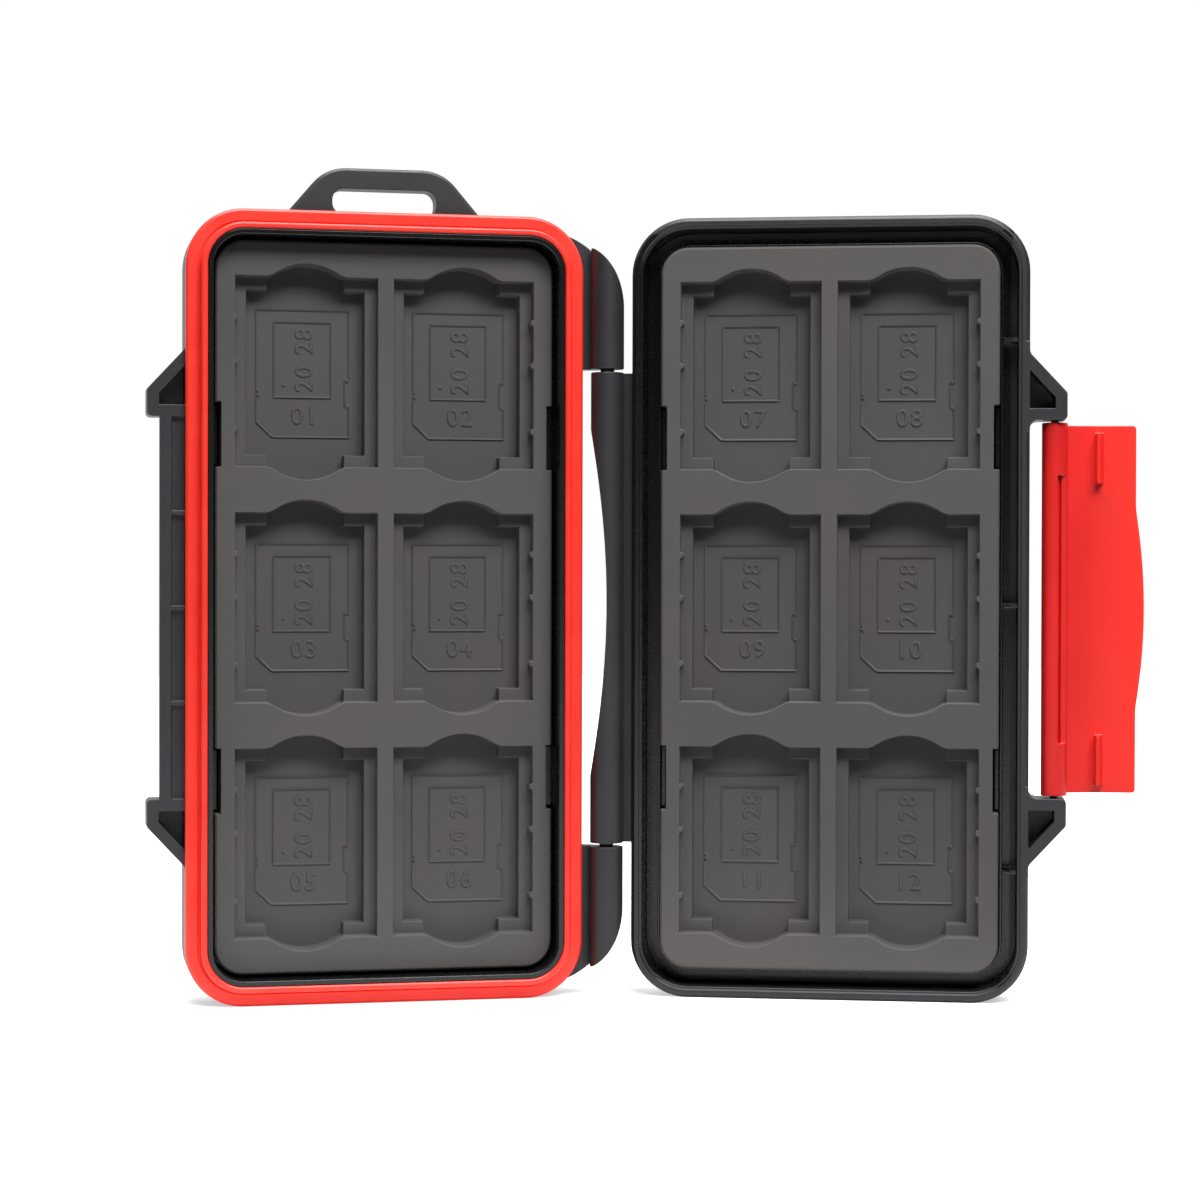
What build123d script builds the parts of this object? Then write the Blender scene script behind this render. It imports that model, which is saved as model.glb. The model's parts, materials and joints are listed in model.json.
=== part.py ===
from build123d import *
import math
import os

os.makedirs("parts", exist_ok=True)

# A hinged case for twelve memory cards, standing open on its short end like a book.
# +Z is up along the hinge, -Y is the side that the open trays face, and the origin is the
# centre of the base's lower end face. All sizes are in millimetres and degrees.

# ---------------------------------------------------------------------------
# Driving dimensions: the two half shells
# ---------------------------------------------------------------------------
case_width = 68.0
case_length = 134.4
case_corner_r = 9.8
base_depth = 11.6
lid_depth = 10.0
back_edge_r = 2.4
floor_t = 2.0
outer_wall_t = 1.9
closing_gap = 0.3
open_angle = 160.7

# The base's upstand carries the seal
seal_channel_w = 1.7
upstand_t = 0.9
upstand_height = 1.9

# The lid's fence holds its insert, with a channel for the seal's lip round it
lid_channel_w = 2.5
fence_t = 0.5
fence_clearance = 1.1
rim_bevel = 0.6
rim_step_w = 0.5
rim_step_drop = 0.3
channel_rib_t = 0.7
channel_rib_pitch = 45.5
channel_rib_rise = 0.5
channel_rib_clearance = 0.4

# ---------------------------------------------------------------------------
# Seal ring: a flat band on the base's rim, a lip round the upstand, a root below
# ---------------------------------------------------------------------------
seal_band_t = 1.6
seal_lip_w = 1.05
seal_lip_height = 2.2
seal_root_depth = 3.0
seal_fit = 0.05
seal_edge_bevel = 0.4
seal_lip_bevel = 0.25
seal_crease_w = 0.4
seal_crease_depth = 0.35

# ---------------------------------------------------------------------------
# Inserts: two columns of three pockets, each a wide step over a narrow one
# ---------------------------------------------------------------------------
insert_inset = 5.05
insert_t = 7.6
insert_bevel = 0.35
pocket_pitch_x = 27.0
pocket_pitch_z = 40.0
wide_pocket_w = 24.2
wide_pocket_h = 32.2
wide_pocket_depth = 2.4
narrow_pocket_w = 20.2
narrow_pocket_h = 28.0
narrow_pocket_depth = 2.8
finger_width = 12.2
finger_rise = 2.2
finger_blend_r = 3.0
finger_slot_w = 13.2
grip_bump_r = 0.6
grip_bump_heights = (9.1, 1.7, -9.7)
side_notch_length = 11.0
side_notch_depth = 1.0
side_notch_pitch = 58.6
locating_lug_gap = 0.3
locating_lug_height = 4.2

# ---------------------------------------------------------------------------
# Hinge: two end knuckles on the base, one long knuckle on the lid, two short pins
# ---------------------------------------------------------------------------
hinge_offset = 4.2
barrel_r = 2.85
knuckle_split = 40.9
knuckle_gap = 0.6
knuckle_end = 65.2
knuckle_corner_r = 14.8
knuckle_gusset = 2.4
scoop_chord = 60.5
scoop_depth = 3.1
scoop_rise = 0.9
hinge_pin_r = 1.2
hinge_pin_length = 29.0
hinge_pin_start = 29.5
running_clearance = 0.05

# ---------------------------------------------------------------------------
# Ears: hollow brackets that flank the catch on the base and the latch on the lid
# ---------------------------------------------------------------------------
ear_reach = 6.3
ear_inner_z = 32.15
ear_outer_z = 36.8
ear_root_z = 43.6
ear_wall_t = 2.0
ear_edge_r = 0.8
ear_root_r = 1.4
ear_floor_t = 1.4
base_ear_depth = 5.8
lid_ear_depth = 7.4

# Catch ledge between the base's ears
catch_reach = 4.2
catch_bar_t = 2.0
catch_height = 2.0
catch_floor_t = 0.9
catch_rib_t = 0.7
catch_rib_pitch = 16.0

# ---------------------------------------------------------------------------
# Latch: a barrel with a curved leaf, drawn shut and swung open about its pin
# ---------------------------------------------------------------------------
latch_offset = 4.3
latch_drop = 3.0
latch_open_angle = 97.0
latch_barrel_r = 2.2
latch_half_length = 31.75
latch_leaf_half = 31.4
latch_leaf_reach = 14.1
latch_leaf_t = 1.5
latch_leaf_bulge = 1.1
latch_tab_half = 17.0
latch_tab_reach = 1.35
latch_tab_blend_r = 16.0
latch_corner_r = 0.6
latch_boss_r = 1.0
latch_boss_gap = 0.3
latch_slot_half = 22.8
latch_slot_w = 0.7
latch_slot_offset = 0.2
latch_flat_offset = 1.2
latch_pin_r = 0.65
latch_pin_seat = 1.6
hook_gap = 0.25
hook_t = 1.2
hook_nose_t = 0.6
hook_bite = 0.3
hook_length = 8.6
hook_end_z = 30.1

# ---------------------------------------------------------------------------
# Lanyard loop on the base's upper end
# ---------------------------------------------------------------------------
loop_rise = 7.9
loop_top_w = 20.0
loop_foot_w = 33.5
loop_shoulder_r = 7.5
loop_band = 3.55
loop_hole_w = 17.9
loop_hole_r = 1.9
loop_drop = 4.0
loop_t = 4.2
loop_bevel = 0.4

# ---------------------------------------------------------------------------
# Places worked out from the dimensions above
# ---------------------------------------------------------------------------
half_width = case_width / 2
half_length = case_length / 2
hinge_reach = half_width + hinge_offset
latch_reach = half_width + latch_offset
wall_root = outer_wall_t / 2
upstand_inset = outer_wall_t + seal_channel_w
base_cavity_inset = upstand_inset + upstand_t
fence_inset = outer_wall_t + lid_channel_w
hinge_bore_r = hinge_pin_r + running_clearance

# Each half has a face plane at its rim: x to the right, y up, z out of the tray.
base_face = Plane(origin=(0, -base_depth / 2, half_length), x_dir=(1, 0, 0), z_dir=(0, -1, 0))
hinge_point = Vector(hinge_reach, -base_depth / 2 - closing_gap / 2, half_length)
lid_turn = math.radians(180 - open_angle)
lid_across = Vector(math.cos(lid_turn), -math.sin(lid_turn), 0)
lid_out = Vector(-math.sin(lid_turn), -math.cos(lid_turn), 0)
lid_origin = hinge_point + lid_across * hinge_reach - lid_out * (closing_gap / 2)
lid_face = Plane(origin=lid_origin, x_dir=lid_across, z_dir=lid_out)

# The hinge's sections lie across the hinge, x away from their tray and y to its back.
base_hinge_section = Plane(origin=hinge_point, x_dir=(1, 0, 0), z_dir=(0, 0, 1))
lid_hinge_section = Plane(origin=hinge_point, x_dir=lid_across * -1, z_dir=(0, 0, -1))

# The latch's section lies across its pin. On the shut case x points outwards and y points
# along the leaf, and the section is turned about the pin to stand open.
latch_point = lid_origin + lid_across * latch_reach - lid_out * latch_drop
latch_turn = math.radians(latch_open_angle)
latch_outward = lid_across * math.cos(latch_turn) - lid_out * math.sin(latch_turn)
latch_section = Plane(origin=latch_point, x_dir=latch_outward, z_dir=(0, 0, -1))
latch_plan = Plane(origin=latch_point, x_dir=(0, 0, 1), z_dir=latch_outward)


def outline(inset, mode=Mode.ADD):
    """The case's rounded outline, drawn in from the outer wall."""
    width = case_width - 2 * inset
    length = case_length - 2 * inset
    RectangleRounded(width, length, case_corner_r - inset, mode=mode)


def ring(plane, outer_inset, inner_inset, height, mode=Mode.ADD):
    """A wall, or a groove, that follows the outline and rises from the plane."""
    with BuildSketch(plane) as wall:
        outline(outer_inset)
        outline(inner_inset, mode=Mode.SUBTRACT)
    extrude(wall.sketch, amount=height, mode=mode)


def shell_block(face, rim_drop, depth):
    """A solid half case with rounded back edges, to be hollowed later."""
    with BuildSketch(face.offset(-depth)) as footprint:
        outline(0)
    extrude(footprint.sketch, amount=depth - rim_drop)
    back = faces().sort_by(Axis(face.origin, face.z_dir))[0]
    fillet(back.edges(), radius=back_edge_r)


def locating_lugs(floor, wall_inset):
    """Low lugs on a tray's long walls that fit the insert's side notches."""
    root = half_width - wall_inset
    tip = half_width - insert_inset - side_notch_depth + locating_lug_gap
    with BuildSketch(floor) as lugs:
        with GridLocations(tip + root, side_notch_pitch, 2, 2):
            Rectangle(root - tip, side_notch_length - 2 * locating_lug_gap)
    extrude(lugs.sketch, amount=locating_lug_height)


def ears(face, side, front_drop, depth):
    """A pair of hollow ears beside the wall, open to the front."""
    slope = (ear_root_z - ear_outer_z) / ear_reach
    wall_rise = ear_wall_t * math.sqrt(1 + slope**2)
    root_x = side * (half_width - wall_root)
    wall_x = side * half_width
    tip_x = side * (half_width + ear_reach)
    window_x = side * (half_width + ear_reach - ear_wall_t)
    with BuildSketch(face.offset(-front_drop)) as brackets:
        for end in (-1, 1):
            with BuildLine():
                Polyline(
                    (root_x, end * (ear_inner_z - ear_wall_t)),
                    (wall_x, end * (ear_inner_z - ear_wall_t)),
                    (wall_x, end * ear_inner_z),
                    (tip_x, end * ear_inner_z),
                    (tip_x, end * ear_outer_z),
                    (wall_x, end * ear_root_z),
                    (wall_x, end * (ear_root_z + ear_wall_t)),
                    (root_x, end * (ear_root_z + ear_wall_t)),
                    close=True,
                )
            make_face()
        wall_points = vertices().group_by(Axis.X)[1]
        fillet(wall_points.sort_by(lambda v: abs(v.Y))[2:6], radius=ear_root_r)
        fillet(vertices().sort_by(Axis.X)[::side][-4:], radius=ear_edge_r)
    extrude(brackets.sketch, amount=-depth)
    with BuildSketch(face.offset(-front_drop)) as windows:
        for end in (-1, 1):
            with BuildLine():
                Polyline(
                    (wall_x, end * (ear_inner_z + ear_wall_t)),
                    (window_x, end * (ear_inner_z + ear_wall_t)),
                    (window_x, end * (ear_outer_z + slope * ear_wall_t - wall_rise)),
                    (wall_x, end * (ear_root_z - wall_rise)),
                    close=True,
                )
            make_face()
    extrude(windows.sketch, amount=ear_floor_t - depth, mode=Mode.SUBTRACT)


def knuckle_section(plane):
    """The barrel's circle and the gusseted web that runs into the wall."""
    wall_x = -hinge_offset
    root_x = -hinge_offset - case_corner_r
    web_front = seal_band_t + closing_gap / 2
    web_back = barrel_r + knuckle_gusset
    with BuildSketch(plane) as section:
        Circle(barrel_r)
        with BuildLine():
            Polyline(
                (root_x, web_front),
                (0, web_front),
                (0, barrel_r),
                (wall_x, web_back),
                (root_x, web_back),
                close=True,
            )
        make_face()
    return section.sketch


# ---------------------------------------------------------------------------
# Knuckles and lanyard loop, each trimmed by itself before it joins its shell
# ---------------------------------------------------------------------------
with BuildPart() as end_knuckles:
    knuckle_foot = base_hinge_section.offset(knuckle_split + knuckle_gap / 2)
    extrude(knuckle_section(knuckle_foot), amount=knuckle_end - knuckle_split)
    mirror(about=Plane.XY.offset(half_length))
    with BuildSketch(base_face):
        RectangleRounded(2 * (hinge_reach + barrel_r), 2 * knuckle_end, knuckle_corner_r)
    extrude(amount=base_depth, both=True, mode=Mode.INTERSECT)
    with BuildSketch(base_hinge_section):
        Circle(hinge_pin_r)
    extrude(amount=half_length, both=True, mode=Mode.SUBTRACT)

with BuildPart() as centre_knuckle:
    half_knuckle = knuckle_split - knuckle_gap / 2
    extrude(knuckle_section(lid_hinge_section), amount=half_knuckle, both=True)
    scoop_r = (scoop_chord**2 / 4 + scoop_depth**2) / (2 * scoop_depth)
    with BuildSketch(lid_face):
        with Locations((scoop_depth - hinge_reach - barrel_r - scoop_r, scoop_rise)):
            Circle(scoop_r)
    extrude(amount=2 * barrel_r, both=True, mode=Mode.SUBTRACT)
    for end in (-1, 1):
        with BuildSketch(lid_hinge_section.offset(end * (hinge_pin_start - closing_gap))):
            Circle(hinge_bore_r)
        extrude(amount=end * knuckle_split, mode=Mode.SUBTRACT)

with BuildPart() as lanyard_loop:
    with BuildSketch(base_face.offset(-loop_drop - loop_t)):
        with BuildLine():
            Polyline(
                (-loop_foot_w / 2, half_length - wall_root),
                (-loop_foot_w / 2, half_length),
                (-loop_top_w / 2, half_length + loop_rise),
                (loop_top_w / 2, half_length + loop_rise),
                (loop_foot_w / 2, half_length),
                (loop_foot_w / 2, half_length - wall_root),
                close=True,
            )
        make_face()
        fillet(vertices().group_by(Axis.Y)[-1], radius=loop_shoulder_r)
    extrude(amount=loop_t)
    rims = faces().filter_by(Axis.Y).edges()
    chamfer(rims.filter_by_position(Axis.Z, case_length, case_length + loop_rise), length=loop_bevel)
    hole_h = loop_rise - loop_band
    with BuildSketch(base_face):
        with Locations((0, half_length + hole_h / 2)):
            RectangleRounded(loop_hole_w, hole_h, loop_hole_r)
    extrude(amount=-base_depth, mode=Mode.SUBTRACT)

# ---------------------------------------------------------------------------
# Base shell: a double-walled tray with its upstand, ears, catch, knuckles and loop
# ---------------------------------------------------------------------------
with BuildPart() as base_shell:
    shell_block(base_face, seal_band_t, base_depth)
    ears(base_face, -1, seal_band_t, base_ear_depth)

    # Catch ledge: a bar on a thin floor, with ribs back to the wall
    with BuildSketch(base_face.offset(-seal_band_t)):
        with Locations(((wall_root - catch_reach) / 2 - half_width, 0)):
            Rectangle(catch_reach + wall_root, 2 * ear_inner_z + ear_wall_t)
    extrude(amount=-catch_height)
    with BuildSketch(base_face.offset(-seal_band_t)):
        with Locations(((catch_bar_t - catch_reach) / 2 - half_width, 0)):
            Rectangle(catch_reach - catch_bar_t, 2 * ear_inner_z)
            with GridLocations(0, catch_rib_pitch, 1, 3):
                Rectangle(catch_reach, catch_rib_t, mode=Mode.SUBTRACT)
    extrude(amount=catch_floor_t - catch_height, mode=Mode.SUBTRACT)

    add(end_knuckles.part)
    add(lanyard_loop.part)

    # Cavity for the insert, channel for the seal's root, and the upstand between them
    base_floor = base_face.offset(floor_t - base_depth)
    with BuildSketch(base_floor):
        outline(base_cavity_inset)
    extrude(amount=base_depth, mode=Mode.SUBTRACT)
    ring(base_floor, outer_wall_t, upstand_inset, base_depth, mode=Mode.SUBTRACT)
    ring(base_floor, upstand_inset, base_cavity_inset, base_depth - floor_t + upstand_height)
    locating_lugs(base_floor, base_cavity_inset - upstand_t / 2)
base_shell.part.label = "base_shell"
export_step(base_shell.part, "parts/base_shell.step")

# ---------------------------------------------------------------------------
# Seal: moulded ring that sits on the base's rim and plugs into its channel
# ---------------------------------------------------------------------------
with BuildPart() as seal:
    lip_inner = upstand_inset - seal_fit
    lip_outer = lip_inner - seal_lip_w
    ring(base_face.offset(-seal_band_t), 0, lip_inner, seal_band_t)
    band_front = faces().sort_by(Axis.Y)[0]
    chamfer(band_front.outer_wire().edges(), length=seal_edge_bevel)
    ring(base_face, lip_outer, lip_inner, seal_lip_height)
    lip_front = faces().sort_by(Axis.Y)[0]
    chamfer(lip_front.edges(), length=seal_lip_bevel)
    crease_floor = base_face.offset(-seal_crease_depth)
    ring(crease_floor, lip_outer - seal_crease_w, lip_outer, seal_crease_depth, mode=Mode.SUBTRACT)
    ring(base_face.offset(-seal_band_t), outer_wall_t + seal_fit, lip_inner, -seal_root_depth)
seal.part.label = "seal"
export_step(seal.part, "parts/seal.step")

# ---------------------------------------------------------------------------
# Lid shell: a tray with a fence, a channel for the seal's lip, ears and a knuckle
# ---------------------------------------------------------------------------
with BuildPart() as lid_shell:
    shell_block(lid_face, 0, lid_depth)
    rim = faces().sort_by(Axis(lid_face.origin, lid_face.z_dir))[-1]
    chamfer(rim.edges(), length=rim_bevel)

    # Ears with seats for the latch pin in their inner walls
    ears(lid_face, 1, 0, lid_ear_depth)
    with BuildSketch(latch_section):
        Circle(latch_pin_r)
    extrude(amount=ear_inner_z + latch_pin_seat, both=True, mode=Mode.SUBTRACT)
    add(centre_knuckle.part)

    # Cavity, with a step inside its rim and a fence round the insert
    lid_floor = lid_face.offset(floor_t - lid_depth)
    with BuildSketch(lid_floor):
        outline(outer_wall_t)
    extrude(amount=lid_depth, mode=Mode.SUBTRACT)
    ring(lid_face, outer_wall_t - rim_step_w, outer_wall_t, -rim_step_drop, mode=Mode.SUBTRACT)
    fence_drop = upstand_height - closing_gap + fence_clearance
    ring(lid_floor, fence_inset, fence_inset + fence_t, lid_depth - floor_t - fence_drop)
    locating_lugs(lid_floor, fence_inset + fence_t / 2)

    # Cross ribs in the channel on the latch side, kept below the seal's lip
    rib_drop = seal_lip_height - closing_gap + channel_rib_clearance
    with BuildSketch(lid_floor):
        with Locations((half_width - (wall_root + fence_inset) / 2, channel_rib_rise)):
            with GridLocations(0, channel_rib_pitch, 1, 3):
                Rectangle(fence_inset - wall_root, channel_rib_t)
    extrude(amount=lid_depth - floor_t - rib_drop)
lid_shell.part.label = "lid_shell"
export_step(lid_shell.part, "parts/lid_shell.step")

# ---------------------------------------------------------------------------
# Inserts: the same soft moulding in both trays, seated on the floors
# ---------------------------------------------------------------------------
with BuildSketch() as wide_pocket:
    Rectangle(wide_pocket_w, wide_pocket_h)
    for end in (-1, 1):
        with BuildLine():
            arc = ThreePointArc(
                (-finger_width / 2, end * wide_pocket_h / 2),
                (0, end * (wide_pocket_h / 2 + finger_rise)),
                (finger_width / 2, end * wide_pocket_h / 2),
            )
            Line(arc @ 0, arc @ 1)
        make_face()
    arc_ends = vertices().filter_by(lambda v: abs(v.X) < narrow_pocket_w / 2)
    fillet(arc_ends, radius=finger_blend_r)

with BuildSketch() as narrow_pocket:
    add(wide_pocket.sketch)
    Rectangle(finger_slot_w, 2 * wide_pocket_h, mode=Mode.INTERSECT)
    Rectangle(narrow_pocket_w, narrow_pocket_h)


def pocketed_insert(floor):
    """An insert that stands on the floor of its tray, with its twelve-card pattern."""
    front = floor.offset(insert_t)
    side_x = half_width - insert_inset
    with BuildSketch(floor) as footprint:
        outline(insert_inset)
    extrude(footprint.sketch, amount=insert_t)
    rim = faces().sort_by(Axis(floor.origin, floor.z_dir))[-1]
    chamfer(rim.edges(), length=insert_bevel)
    with BuildSketch(floor) as notches:
        with GridLocations(2 * side_x, side_notch_pitch, 2, 2):
            Rectangle(2 * side_notch_depth, side_notch_length)
    extrude(notches.sketch, amount=insert_t, mode=Mode.SUBTRACT)
    with BuildSketch(front) as wide_steps:
        with GridLocations(pocket_pitch_x, pocket_pitch_z, 2, 3):
            add(wide_pocket.sketch)
        with GridLocations(pocket_pitch_x + wide_pocket_w, pocket_pitch_z, 2, 3):
            with Locations(*[(0, height) for height in grip_bump_heights]):
                RegularPolygon(grip_bump_r, 6, rotation=30, mode=Mode.SUBTRACT)
    extrude(wide_steps.sketch, amount=-wide_pocket_depth, mode=Mode.SUBTRACT)
    with BuildSketch(front.offset(-wide_pocket_depth)) as narrow_steps:
        with GridLocations(pocket_pitch_x, pocket_pitch_z, 2, 3):
            add(narrow_pocket.sketch)
    extrude(narrow_steps.sketch, amount=-narrow_pocket_depth, mode=Mode.SUBTRACT)


with BuildPart() as base_insert:
    pocketed_insert(base_floor)
base_insert.part.label = "base_insert"
export_step(base_insert.part, "parts/base_insert.step")

with BuildPart() as lid_insert:
    pocketed_insert(lid_floor)
lid_insert.part.label = "lid_insert"
export_step(lid_insert.part, "parts/lid_insert.step")

# ---------------------------------------------------------------------------
# Latch: its leaf is trimmed by itself, then joins the barrel and its two hooks
# ---------------------------------------------------------------------------
with BuildPart() as leaf:
    tip = latch_leaf_reach + latch_tab_reach
    bow = latch_barrel_r + latch_leaf_bulge
    inner_root = latch_barrel_r - latch_leaf_t
    with BuildSketch(latch_section):
        with BuildLine():
            outer = ThreePointArc((latch_barrel_r, 0), (bow, tip / 2), (latch_barrel_r, tip))
            inner = ThreePointArc((inner_root, 0), (bow - latch_leaf_t, tip / 2), (inner_root, tip))
            Line(outer @ 0, inner @ 0)
            Line(outer @ 1, inner @ 1)
        make_face()
    extrude(amount=latch_leaf_half, both=True)
    with BuildSketch(latch_plan):
        with BuildLine():
            edge = Polyline(
                (latch_tab_half, latch_leaf_reach),
                (latch_leaf_half, latch_leaf_reach),
                (latch_leaf_half, 0),
                (-latch_leaf_half, 0),
                (-latch_leaf_half, latch_leaf_reach),
                (-latch_tab_half, latch_leaf_reach),
            )
            ThreePointArc(edge @ 1, (0, tip), edge @ 0)
        make_face()
        fillet(vertices().group_by(Axis.Y)[-1].sort_by(Axis.X)[0::3], radius=latch_corner_r)
        fillet(vertices().group_by(Axis.Y)[-1].sort_by(Axis.X)[1:3], radius=latch_tab_blend_r)
    extrude(amount=2 * bow, both=True, mode=Mode.INTERSECT)

with BuildPart() as latch:
    with BuildSketch(latch_section):
        Circle(latch_barrel_r)
    extrude(amount=latch_half_length, both=True)

    # The barrel is flat along its middle, with a slot that shows the pin
    with BuildSketch(latch_section):
        with BuildLine():
            Polyline(
                (-2 * latch_barrel_r, latch_slot_offset),
                (0, latch_slot_offset),
                (0, latch_slot_offset + latch_slot_w),
                (-latch_flat_offset, latch_slot_offset + latch_slot_w),
                (-latch_flat_offset, 2 * latch_barrel_r),
                (-2 * latch_barrel_r, 2 * latch_barrel_r),
                close=True,
            )
        make_face()
    extrude(amount=latch_slot_half, both=True, mode=Mode.SUBTRACT)
    add(leaf.part)

    # Hooks that pass under the catch bar
    bar_back = latch_drop + closing_gap + seal_band_t + catch_height
    hook_front = bar_back + hook_gap
    bar_edge = catch_reach - latch_offset
    for end in (-1, 1):
        with BuildSketch(latch_section.offset(end * (hook_end_z - hook_length))):
            with BuildLine():
                Polyline(
                    (bar_edge - hook_bite, hook_front),
                    (bar_edge - hook_bite, hook_front + hook_nose_t),
                    (bow - latch_leaf_t / 2, hook_front + hook_nose_t + hook_t),
                    (bow - latch_leaf_t / 2, hook_front),
                    close=True,
                )
            make_face()
        extrude(amount=end * hook_length)

    # Bosses at both ends, and the bore for the pin
    with BuildSketch(latch_section):
        Circle(latch_boss_r)
    extrude(amount=ear_inner_z - latch_boss_gap, both=True)
    with BuildSketch(latch_section):
        Circle(latch_pin_r + running_clearance)
    extrude(amount=ear_inner_z, both=True, mode=Mode.SUBTRACT)
latch.part.label = "latch"
export_step(latch.part, "parts/latch.step")

# ---------------------------------------------------------------------------
# Pins: one long steel pin through the latch, and one in each end knuckle
# ---------------------------------------------------------------------------
with BuildPart() as latch_pin:
    with BuildSketch(latch_section):
        Circle(latch_pin_r)
    extrude(amount=ear_inner_z + latch_pin_seat, both=True)
latch_pin.part.label = "latch_pin"
export_step(latch_pin.part, "parts/latch_pin.step")

with BuildPart() as hinge_pin_upper:
    with BuildSketch(base_hinge_section.offset(hinge_pin_start)):
        Circle(hinge_pin_r)
    extrude(amount=hinge_pin_length)
hinge_pin_upper.part.label = "hinge_pin_upper"
export_step(hinge_pin_upper.part, "parts/hinge_pin_upper.step")

with BuildPart() as hinge_pin_lower:
    with BuildSketch(base_hinge_section.offset(-hinge_pin_start)):
        Circle(hinge_pin_r)
    extrude(amount=-hinge_pin_length)
hinge_pin_lower.part.label = "hinge_pin_lower"
export_step(hinge_pin_lower.part, "parts/hinge_pin_lower.step")
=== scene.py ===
import bmesh
import bpy
import json
import math
from mathutils import Matrix, Vector


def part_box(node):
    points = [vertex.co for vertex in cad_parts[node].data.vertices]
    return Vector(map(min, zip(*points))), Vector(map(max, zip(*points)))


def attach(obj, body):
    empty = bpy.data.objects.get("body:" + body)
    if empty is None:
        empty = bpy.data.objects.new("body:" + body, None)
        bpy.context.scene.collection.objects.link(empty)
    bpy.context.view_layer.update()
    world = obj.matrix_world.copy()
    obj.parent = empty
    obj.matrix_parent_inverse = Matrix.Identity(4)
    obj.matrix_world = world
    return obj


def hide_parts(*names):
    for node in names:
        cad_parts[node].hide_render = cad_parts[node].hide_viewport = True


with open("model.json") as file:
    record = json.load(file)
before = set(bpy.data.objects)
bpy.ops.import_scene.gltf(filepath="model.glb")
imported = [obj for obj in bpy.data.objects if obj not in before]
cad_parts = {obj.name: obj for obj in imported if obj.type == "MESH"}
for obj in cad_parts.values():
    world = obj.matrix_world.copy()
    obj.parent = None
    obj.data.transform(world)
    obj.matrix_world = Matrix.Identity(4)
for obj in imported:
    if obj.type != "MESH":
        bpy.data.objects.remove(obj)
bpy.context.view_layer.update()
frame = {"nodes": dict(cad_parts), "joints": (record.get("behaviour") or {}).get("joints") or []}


# Base tray. One injection moulding in black glass-filled nylon: a double-walled tray with the
# catch ledge, two hollow ears, the two end knuckles of the hinge and the lanyard loop. The tool
# was spark-eroded, so the surface has a fine grain; its rounded edges carry a painted highlight.
MM = 0.001
merge_gap = 0.002 * MM
flat_angle = math.radians(0.6)
corner_angle = math.radians(28)
smooth_angle = math.radians(50)
shell_edge_r = 0.16 * MM
# Bounds of the polished inside of the trays, where the colour is also painted darker as painted shade.
shade_and_polish_half_width = 30.8 * MM
shade_and_polish_half_height = 64.2 * MM
shade_and_polish_fade = 0.5 * MM
base_shade_and_polish_depth = 10 * MM
spark_grain = 0.24 * MM
spark_depth = 0.03 * MM


class Socket:
    """A value in a material, so that shader maths reads as an ordinary expression."""

    def __init__(self, tree, link):
        self.tree = tree
        self.link = link

    def math(self, operation, *values):
        node = self.tree.nodes.new("ShaderNodeMath")
        node.operation = operation
        for slot, value in zip(node.inputs, values):
            if isinstance(value, Socket):
                self.tree.links.new(value.link, slot)
            else:
                slot.default_value = value
        return Socket(self.tree, node.outputs[0])

    def __add__(self, other):
        return self.math("ADD", self, other)

    def __sub__(self, other):
        return self.math("SUBTRACT", self, other)

    def __rsub__(self, other):
        return self.math("SUBTRACT", other, self)

    def __mul__(self, other):
        return self.math("MULTIPLY", self, other)

    __radd__ = __add__
    __rmul__ = __mul__

    def between(self, low, high):
        """0 below low, 1 above high, and a straight rise between them."""
        return self.math("MULTIPLY_ADD", self, 1 / (high - low), -low / (high - low)).clamped()

    def clamped(self):
        self.link.node.use_clamp = True
        return self


class Finish:
    """A material on the Principled shader, read from the object's own coordinates."""

    def __init__(self, name, **constants):
        self.data = bpy.data.materials.new(name)
        self.data.use_nodes = True
        self.tree = self.data.node_tree
        self.shader = self.tree.nodes["Principled BSDF"]
        self.place = self.node("TexCoord", "Object")
        for socket, value in constants.items():
            self.shader.inputs[socket.replace("_", " ")].default_value = value

    def node(self, kind, output, settings=(), **inputs):
        """Any other node: its settings are set first, then the values or links of its sockets."""
        node = self.tree.nodes.new("ShaderNode" + kind)
        for setting, value in dict(settings).items():
            setattr(node, setting, value)
        for socket, value in inputs.items():
            slot = node.inputs[socket.replace("_", " ")]
            if isinstance(value, Socket):
                self.tree.links.new(value.link, slot)
            else:
                slot.default_value = value
        return Socket(self.tree, node.outputs[output])

    def noise(self, size, detail=2.0, stretch=(1, 1, 1)):
        """Noise whose features are about as large as size, in metres."""
        place = self.node("Mapping", "Vector", Vector=self.place, Scale=stretch)
        return self.node("TexNoise", "Fac", Vector=place, Scale=1 / size, Detail=detail)

    def blend(self, amount, first, second):
        """A colour between two colours, either of them fixed or linked."""
        node = self.tree.nodes.new("ShaderNodeMix")
        node.data_type = "RGBA"
        for slot, value in zip((node.inputs[0], node.inputs[6], node.inputs[7]), (amount, first, second)):
            if isinstance(value, Socket):
                self.tree.links.new(value.link, slot)
            else:
                slot.default_value = value
        return Socket(self.tree, node.outputs[2])

    def edges(self, radius):
        """1 on rounded edges, fading to 0 on the flat."""
        round_normal = self.node("Bevel", "Normal", {"samples": 6}, Radius=radius)
        flat_normal = self.node("NewGeometry", "Normal")
        node = self.tree.nodes.new("ShaderNodeVectorMath")
        node.operation = "DOT_PRODUCT"
        self.tree.links.new(round_normal.link, node.inputs[0])
        self.tree.links.new(flat_normal.link, node.inputs[1])
        return (1 - Socket(self.tree, node.outputs["Value"])).between(0.01, 0.2)

    def grain(self, height, depth, strength=1.0):
        """Relief from a height, at a real depth in metres."""
        normal = self.node("Bump", "Normal", Height=height, Distance=depth, Strength=strength)
        self.feed("Normal", normal)

    def feed(self, socket, value):
        self.tree.links.new(value.link, self.shader.inputs[socket])


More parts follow.
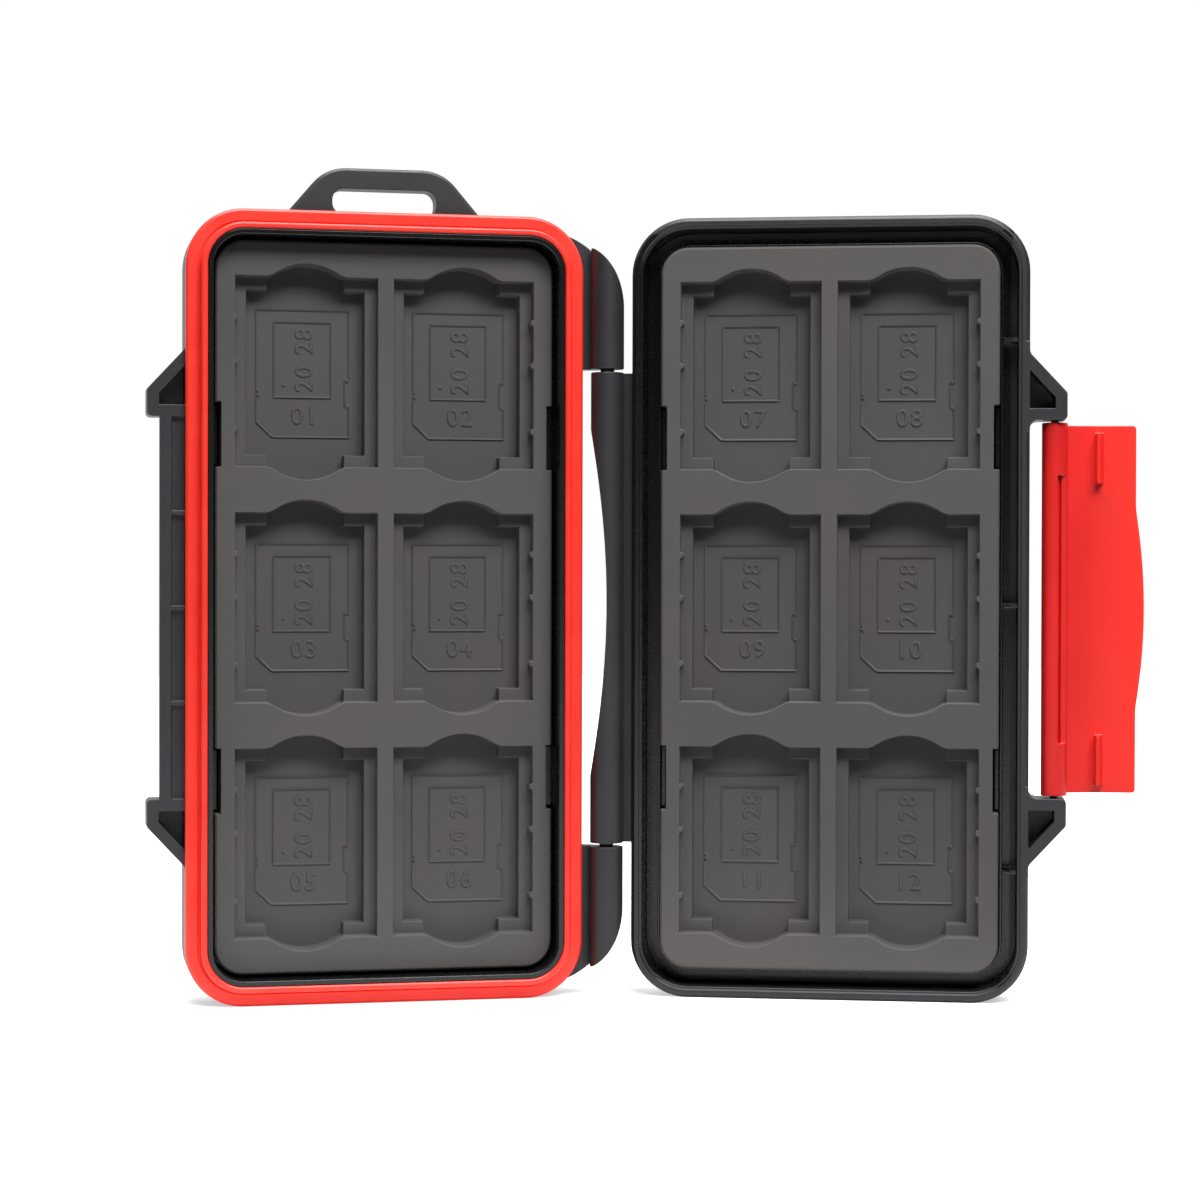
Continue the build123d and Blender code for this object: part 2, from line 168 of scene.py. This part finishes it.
def rgb(red, green, blue):
    """A colour given as it looks on the screen, from 0 to 255."""
    values = [value / 255 for value in (red, green, blue)]
    linear = [value / 12.92 if value < 0.04045 else ((value + 0.055) / 1.055) ** 2.4 for value in values]
    return (*linear, 1.0)


def black_plastic(name, face_centre, turn, left, right, back):
    """Grained where the tool was spark-eroded, and polished inside the tray: from left to right
    across its face, and no further behind the face than back. Inside the tray the colour is also
    darker, a painted shade, and rounded edges are lighter, a painted highlight."""
    m = Finish(name, Specular_IOR_Level=0.42)
    tray = m.node(
        "Mapping", "Vector", {"vector_type": "TEXTURE"},
        Vector=m.place, Location=face_centre, Rotation=(0, 0, -turn),
    )
    across, depth, along = (m.node("SeparateXYZ", axis, Vector=tray) for axis in "XYZ")
    # The inside of the tray: polished, and painted darker there as painted shade.
    polished_and_shaded = across.between(left, left + shade_and_polish_fade) * (1 - across.between(right, right + shade_and_polish_fade))
    polished_and_shaded = polished_and_shaded * (1 - depth.between(back, back + shade_and_polish_fade))
    end = along.math("ABSOLUTE", along).between(shade_and_polish_half_height, shade_and_polish_half_height + shade_and_polish_fade)
    polished_and_shaded = polished_and_shaded * (1 - end)
    spark = m.noise(spark_grain, 3.0)
    clouds = m.noise(9 * MM, 3.0)
    dust = m.noise(0.4 * MM, 1.0).between(0.72, 0.8)
    edge = m.edges(0.35 * MM)
    grained = m.blend(clouds.between(0.3, 0.7), rgb(27, 27, 29), rgb(35, 35, 38))
    # Painted shade: the colour inside the tray is darker, for the shade that falls there.
    painted_shade_inside = m.blend(clouds.between(0.3, 0.7), rgb(9, 9, 10), rgb(14, 14, 16))
    body = m.blend(polished_and_shaded, grained, painted_shade_inside)
    # Painted highlight: rounded edges are lighter in colour, less so inside the tray.
    painted_edge_highlight = m.blend(edge * (0.55 - 0.35 * polished_and_shaded), body, rgb(70, 70, 75))
    m.feed("Base Color", m.blend(dust * 0.2, painted_edge_highlight, rgb(96, 95, 94)))
    m.feed("Roughness", 0.36 + 0.16 * spark - 0.18 * polished_and_shaded)
    m.grain(spark * (1 - polished_and_shaded), spark_depth, 0.55)
    return m.data


def fitted(mesh, name, body, slot, material, *nodes):
    """A finished piece: shaded smooth, riding on its body and standing for its CAD nodes."""
    piece = bpy.data.objects.new(name, mesh)
    bpy.context.scene.collection.objects.link(piece)
    mesh.materials.clear()
    mesh.materials.append(material)
    mesh.shade_smooth()
    mesh.set_sharp_from_angle(angle=smooth_angle)
    weighted = piece.modifiers.new("even_shading", "WEIGHTED_NORMAL")
    weighted.keep_sharp = True
    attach(piece, body)
    if nodes:
        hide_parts(*nodes)


def moulding(node, edge_r, bore=(0, 0), bore_r=0):
    """A merged copy of a moulding, its sharp edges rounded over apart from those at a bore."""
    bm = bmesh.new()
    bm.from_mesh(frame["nodes"][node].data)
    bmesh.ops.remove_doubles(bm, verts=bm.verts, dist=merge_gap)
    bmesh.ops.dissolve_limit(bm, angle_limit=flat_angle, verts=bm.verts, edges=bm.edges)
    corners = []
    for edge in bm.edges:
        middle = (edge.verts[0].co + edge.verts[1].co) / 2
        clear = (middle.xy - Vector(bore)).length > bore_r
        if clear and edge.calc_face_angle() > corner_angle:
            corners.append(edge)
    bmesh.ops.bevel(bm, geom=corners, offset=edge_r, segments=2, profile=0.5, affect="EDGES", material=-1)
    mesh = bpy.data.meshes.new(node)
    bm.to_mesh(mesh)
    bm.free()
    return mesh


joints = {joint["name"]: joint for joint in frame["joints"]}
hinge_point = Vector(joints["lid_hinge"]["pos_m"])
closing_gap = 0.15 * MM
base_face = Vector((0, hinge_point.y + closing_gap, hinge_point.z))
base_black = black_plastic(
    "base_black", base_face, 0, -shade_and_polish_half_width, shade_and_polish_half_width, base_shade_and_polish_depth
)
fitted(moulding("base_shell", shell_edge_r), "base_tray", "base", "black_plastic", base_black, "base_shell")


# Lid tray. The same black moulding as the base: a single-walled tray with the seal's channel, a
# thin fence round the insert, the latch's two ears and the long knuckle with its finger scoop.
# The lid's polished inside, also painted darker there as painted shade.
lid_shade_and_polish_left = -33.9 * MM
lid_shade_and_polish_depth = 8.4 * MM
lid_turn = math.radians(-joints["lid_hinge"]["range_deg"][0])
lid_across = Vector((math.cos(lid_turn), -math.sin(lid_turn), 0))
lid_out = Vector((-math.sin(lid_turn), -math.cos(lid_turn), 0))
lid_face = hinge_point + lid_across * hinge_point.x - lid_out * closing_gap
lid_black = black_plastic(
    "lid_black", lid_face, lid_turn, lid_shade_and_polish_left, shade_and_polish_half_width, lid_shade_and_polish_depth
)
fitted(moulding("lid_shell", shell_edge_r), "lid_tray", "lid", "black_plastic", lid_black, "lid_shell")


# Seal. A soft red rubber ring, moulded by itself and pressed by its root into the groove of the
# base. Its flat band covers the base's rim, and its raised lip closes in the lid's channel.
seal_edge_r = 0.11 * MM


def red_rubber():
    m = Finish("red_seal", Specular_IOR_Level=0.4)
    grain = m.noise(0.3 * MM, 2.0)
    clouds = m.noise(6 * MM, 2.0)
    m.feed("Base Color", m.blend(clouds.between(0.3, 0.7), rgb(240, 50, 37), rgb(247, 59, 47)))
    m.feed("Roughness", 0.3 + 0.12 * grain)
    m.grain(grain, 0.012 * MM, 0.6)
    return m.data


fitted(moulding("seal", seal_edge_r), "seal_ring", "base", "red_seal", red_rubber(), "seal")


# Card inserts. Two mouldings in dark grey rubber from the same tool, each dropped into its tray
# on four lugs: two columns of three stepped pockets, with the outline of a card raised on each
# pocket's floor and a plain slot number.
insert_edge_r = 0.15 * MM
pocket_count = 6
pocket_columns = 2
pocket_pitch = Vector((27.0, 40.0)) * MM
pocket_depth = 5.2 * MM
mark_height = 0.27 * MM
mark_width = 0.72 * MM
mark_sink = 0.03 * MM
number_height = 3.0 * MM
digit_share = 0.7
digit_spacing = 1.15
number_slope = 0.2 * MM
number_places = ((0.1, -7.3, 0), (0.2, 2.4, 90))
small_card_size = "20 28"
dot_places = ((-3.4, -2.0), (-8.0, -3.65), (7.5, -1.1), (7.5, -5.5))
dot_r = 0.42 * MM
dot_top_share = 0.35
card_outline = (
    (-8.2, 10.9), (7.8, 10.9), (7.8, -0.9), (7.1, -1.3), (7.1, -5.3), (7.8, -5.7),
    (7.8, -10.9), (-5.4, -10.9), (-8.2, -8.3), (-8.2, -4.3), (-7.8, -4.1), (-7.8, -3.2), (-8.2, -3.0),
)
chip_outline = ((-5.2, 8.8), (4.7, 8.8), (4.7, -4.1), (-5.2, -4.1))


def grey_rubber():
    m = Finish("grey_insert", Specular_IOR_Level=0.35)
    grain = m.noise(0.16 * MM, 3.0)
    clouds = m.noise(22 * MM, 2.0)
    lint = m.noise(0.3 * MM, 0.0).between(0.79, 0.84)
    edge = m.edges(0.3 * MM)
    body = m.blend(clouds.between(0.35, 0.65), rgb(74, 74, 74), rgb(79, 75, 74))
    # Painted highlight: rounded edges are lighter in colour.
    painted_edge_highlight = m.blend(edge * 0.35, body, rgb(94, 93, 92))
    m.feed("Base Color", m.blend(lint * 0.12, painted_edge_highlight, rgb(132, 130, 127)))
    m.feed("Roughness", 0.62 + 0.16 * grain)
    m.grain(grain, 0.012 * MM, 0.6)
    return m.data


def insert_front(node, turn):
    """The middle of an insert's front face: x across the tray, y up and z out of it."""
    across = Vector((math.cos(turn), -math.sin(turn), 0))
    up = Vector((0, 0, 1))
    axes = Matrix((across, up, across.cross(up))).transposed()
    corners = [axes.transposed() @ vertex.co for vertex in frame["nodes"][node].data.vertices]
    low = Vector([min(corner[axis] for corner in corners) for axis in range(3)])
    high = Vector([max(corner[axis] for corner in corners) for axis in range(3)])
    middle = (low + high) / 2
    middle.z = high.z
    return Matrix.Translation(axes @ middle) @ axes.to_4x4()


def raised_line(bm, outline):
    """A ridge with two sloping sides along the inside of an outline, closed underneath."""
    sheet = bm.faces.new([bm.verts.new((x * MM, y * MM, -mark_sink)) for x, y in outline])
    feet = list(sheet.edges)
    for rise in (mark_height + mark_sink, 0):
        bmesh.ops.inset_region(
            bm, faces=[sheet], thickness=mark_width / 2, use_even_offset=True, use_boundary=True
        )
        if rise:
            bmesh.ops.translate(bm, vec=(0, 0, rise), verts=sheet.verts)
    bmesh.ops.translate(bm, vec=(0, 0, -mark_height - mark_sink), verts=sheet.verts)
    feet += list(sheet.edges)
    bmesh.ops.delete(bm, geom=[sheet], context="FACES_ONLY")
    bmesh.ops.bridge_loops(bm, edges=feet)


def raised_number(digits, x, y, turn):
    """The mesh of plain raised digits with sloping sides, about a point of the pocket's floor."""
    text = bpy.data.curves.new("digits", "FONT")
    text.body = digits
    text.size = number_height / digit_share
    text.align_x = "CENTER"
    text.align_y = "CENTER"
    text.bevel_depth = number_slope
    text.offset = -number_slope / 2
    text.resolution_u = 3
    text.space_character = digit_spacing
    holder = bpy.data.objects.new("digits", text)
    mesh = bpy.data.meshes.new_from_object(holder)
    bpy.data.objects.remove(holder)
    mesh.transform(Matrix.Translation((x * MM, y * MM, 0)) @ Matrix.Rotation(math.radians(turn), 4, "Z"))
    return mesh


def card_marks(front, first_number, name, body):
    """The raised card outlines and slot numbers of one insert, row by row from the top left."""
    bm = bmesh.new()
    for slot in range(pocket_count):
        row, column = divmod(slot, pocket_columns)
        middle = Vector(((column - 0.5) * pocket_pitch.x, (1 - row) * pocket_pitch.y, -pocket_depth))
        marks = bmesh.new()
        for outline in (card_outline, chip_outline):
            raised_line(marks, outline)
        for x, y in dot_places:
            dot = bmesh.ops.create_cone(
                marks, cap_ends=True, segments=14, radius1=dot_r, radius2=dot_r * dot_top_share,
                depth=mark_height + mark_sink,
            )
            place = (x * MM, y * MM, (mark_height - mark_sink) / 2)
            bmesh.ops.translate(marks, vec=place, verts=dot["verts"])
        for digits, place in zip((f"{first_number + slot:02d}", small_card_size), number_places):
            marks.from_mesh(raised_number(digits, *place))
        bmesh.ops.remove_doubles(marks, verts=marks.verts, dist=merge_gap)
        bmesh.ops.recalc_face_normals(marks, faces=marks.faces)
        bmesh.ops.transform(marks, matrix=front @ Matrix.Translation(middle), verts=marks.verts)
        pocket = bpy.data.meshes.new("pocket_marks")
        marks.to_mesh(pocket)
        marks.free()
        bm.from_mesh(pocket)
    mesh = bpy.data.meshes.new(name)
    bm.to_mesh(mesh)
    bm.free()
    fitted(mesh, name, body, "grey_insert", rubber)


rubber = grey_rubber()
for node, name, body, turn, first_number in (
    ("base_insert", "base_card_insert", "base", 0.0, 1),
    ("lid_insert", "lid_card_insert", "lid", lid_turn, 7),
):
    fitted(moulding(node, insert_edge_r), name, body, "grey_insert", rubber, node)
    card_marks(insert_front(node, turn), first_number, body + "_card_marks", body)


# Latch. One red polypropylene moulding: a barrel that turns on a steel pin between the lid's
# ears, and a bowed leaf with a thumb tab and two hooks that snap under the base's catch bar.
# Its red is painted lighter from the leaf's root to its tip: painted light and shade for the shading of the
# bow.
latch_edge_r = 0.13 * MM
latch_bore_clear = 1.05 * MM
latch_low, latch_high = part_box("latch")
latch_leaf_root = latch_low[0] + 5 * MM
latch_leaf_tip = latch_high[0] - 1 * MM


def red_plastic():
    m = Finish("red_plastic", Specular_IOR_Level=0.5)
    flow = m.noise(7 * MM, 2.0, (1, 1, 0.35))
    scuff = m.noise(0.35 * MM, 2.0)
    edge = m.edges(0.3 * MM)
    across = m.node("SeparateXYZ", "X", Vector=m.place)
    # Painted light and shade: the red grows lighter from the leaf's root to its tip, for the shading of its
    # bow.
    tip_painted_light = across.between(latch_leaf_root, latch_leaf_tip)
    root_red = m.blend(flow.between(0.3, 0.7), rgb(214, 28, 28), rgb(224, 34, 32))
    body = m.blend(tip_painted_light, root_red, rgb(252, 50, 38))
    # Painted highlight: rounded edges are lighter in colour.
    m.feed("Base Color", m.blend(edge * 0.25, body, rgb(250, 84, 70)))
    m.feed("Roughness", 0.28 + 0.14 * flow + 0.06 * scuff)
    m.grain(scuff + 2.0 * flow, 0.006 * MM, 0.5)
    return m.data


latch_mesh = moulding("latch", latch_edge_r, joints["latch_hinge"]["pos_m"][:2], latch_bore_clear)
fitted(latch_mesh, "latch_lever", "latch", "red_plastic", red_plastic(), "latch")


# Pins. Blackened steel wire cut to length and pressed in: one long pin through the latch's
# barrel into the lid's ears, and one in each end knuckle, on which the lid's knuckle turns.
pin_edge_r = 0.12 * MM


def black_steel():
    m = Finish("dark_steel", Metallic=1.0)
    lines = m.noise(0.12 * MM, 2.0, (1, 1, 0.02))
    m.feed("Base Color", m.blend(lines, rgb(34, 32, 31), rgb(58, 55, 53)))
    m.feed("Roughness", 0.34 + 0.2 * lines)
    m.grain(lines, 0.004 * MM, 0.5)
    return m.data


steel = black_steel()
for node, body in (("latch_pin", "lid"), ("hinge_pin_upper", "base"), ("hinge_pin_lower", "base")):
    fitted(moulding(node, pin_edge_r), node + "_wire", body, "dark_steel", steel, node)


# The studio. The case stands on a white table before a lit white wall, in a room that is dark on
# the camera's side but for a strip of table at the case's foot. A wide soft lamp above the camera
# lights the pockets from 46 degrees up, and one overhead draws a bright line on upper edges.
table_half = 1.5
table_white = (0.86, 0.86, 0.86, 1)
table_bounce = (0.03, 0.03, 0.03, 1)
strip_half = 0.03
strip_edge = 0.01
near_glow = (0.5, 0.5, 0.5, 1)
far_glow = (1, 1, 1, 1)
near_table = 0.15
far_table = 0.6
dark_side = 0.01
lamp_distance = 0.7
lamps = (
    ("front_lamp", 8, 46, 0.5, 0.26, 6.3),
    ("top_lamp", 0, 84, 0.6, 0.16, 8.5),
)

table = bmesh.new()
bmesh.ops.create_grid(table, x_segments=1, y_segments=1, size=table_half)
table_mesh = bpy.data.meshes.new("table")
table.to_mesh(table_mesh)
table.free()
table_top = bpy.data.objects.new("table", table_mesh)
bpy.context.scene.collection.objects.link(table_top)

top_finish = Finish("table_white", Roughness=0.9, Emission_Strength=1.0)
camera_ray = top_finish.node("LightPath", "Is Camera Ray")
glossy_ray = top_finish.node("LightPath", "Is Glossy Ray")
to_side = top_finish.node("SeparateXYZ", "X", Vector=top_finish.place) - hinge_point.x
in_front = top_finish.node("SeparateXYZ", "Y", Vector=top_finish.place) - hinge_point.y
strip = 1 - in_front.math("ABSOLUTE", in_front).between(strip_half, strip_half + strip_edge)
white = (camera_ray + glossy_ray + strip).clamped()
away = (to_side * to_side + in_front * in_front).between(near_table ** 2, far_table ** 2)
glow = top_finish.blend(away, near_glow, far_glow)
top_finish.feed("Base Color", top_finish.blend(white, table_bounce, table_white))
top_finish.feed("Emission Color", top_finish.blend(camera_ray, (0, 0, 0, 1), glow))
table_mesh.materials.append(top_finish.data)

world = bpy.data.worlds.new("studio")
bpy.context.scene.world = world
world.use_nodes = True
room = world.node_tree
direction = room.nodes.new("ShaderNodeSeparateXYZ")
room.links.new(room.nodes.new("ShaderNodeTexCoord").outputs["Generated"], direction.inputs[0])
wall = Socket(room, direction.outputs["Y"]).between(0.0, 0.5)
seen = Socket(room, room.nodes.new("ShaderNodeLightPath").outputs["Is Camera Ray"])
grey = dark_side + (1 - dark_side) * (seen + wall).clamped()
room.links.new(grey.link, room.nodes["Background"].inputs["Color"])

for name, azimuth, rise, width, height, power in lamps:
    light = bpy.data.lights.new(name, "AREA")
    light.shape = "RECTANGLE"
    light.size = width
    light.size_y = height
    light.energy = power
    lamp = bpy.data.objects.new(name, light)
    lamp.matrix_world = (
        Matrix.Translation(hinge_point)
        @ Matrix.Rotation(math.radians(azimuth), 4, "Z")
        @ Matrix.Rotation(math.radians(90 - rise), 4, "X")
        @ Matrix.Translation((0, 0, lamp_distance))
    )
    bpy.context.scene.collection.objects.link(lamp)


# The camera stands level with the middle of the case and square on to neither tray: the base
# leans 12.2 degrees away from it and the lid 7.1 degrees.
view_turn = math.radians(-12.23)
view_lean = math.radians(-0.565)
view_roll = math.radians(0.134)
view_offset = Vector((-1.2, 1.36, 484.0)) * MM
camera_data = bpy.data.cameras.new("camera")
camera_data.sensor_width = 36.0
camera_data.lens = 84.0
camera = bpy.data.objects.new("camera", camera_data)
bpy.context.scene.collection.objects.link(camera)
camera.matrix_world = (
    Matrix.Translation(hinge_point)
    @ Matrix.Rotation(view_turn, 4, "Z")
    @ Matrix.Rotation(math.radians(90), 4, "X")
    @ Matrix.Rotation(view_roll, 4, "Z")
    @ Matrix.Rotation(view_lean, 4, "X")
    @ Matrix.Translation(view_offset)
)
bpy.context.scene.camera = camera
bpy.context.scene.view_settings.view_transform = "Standard"
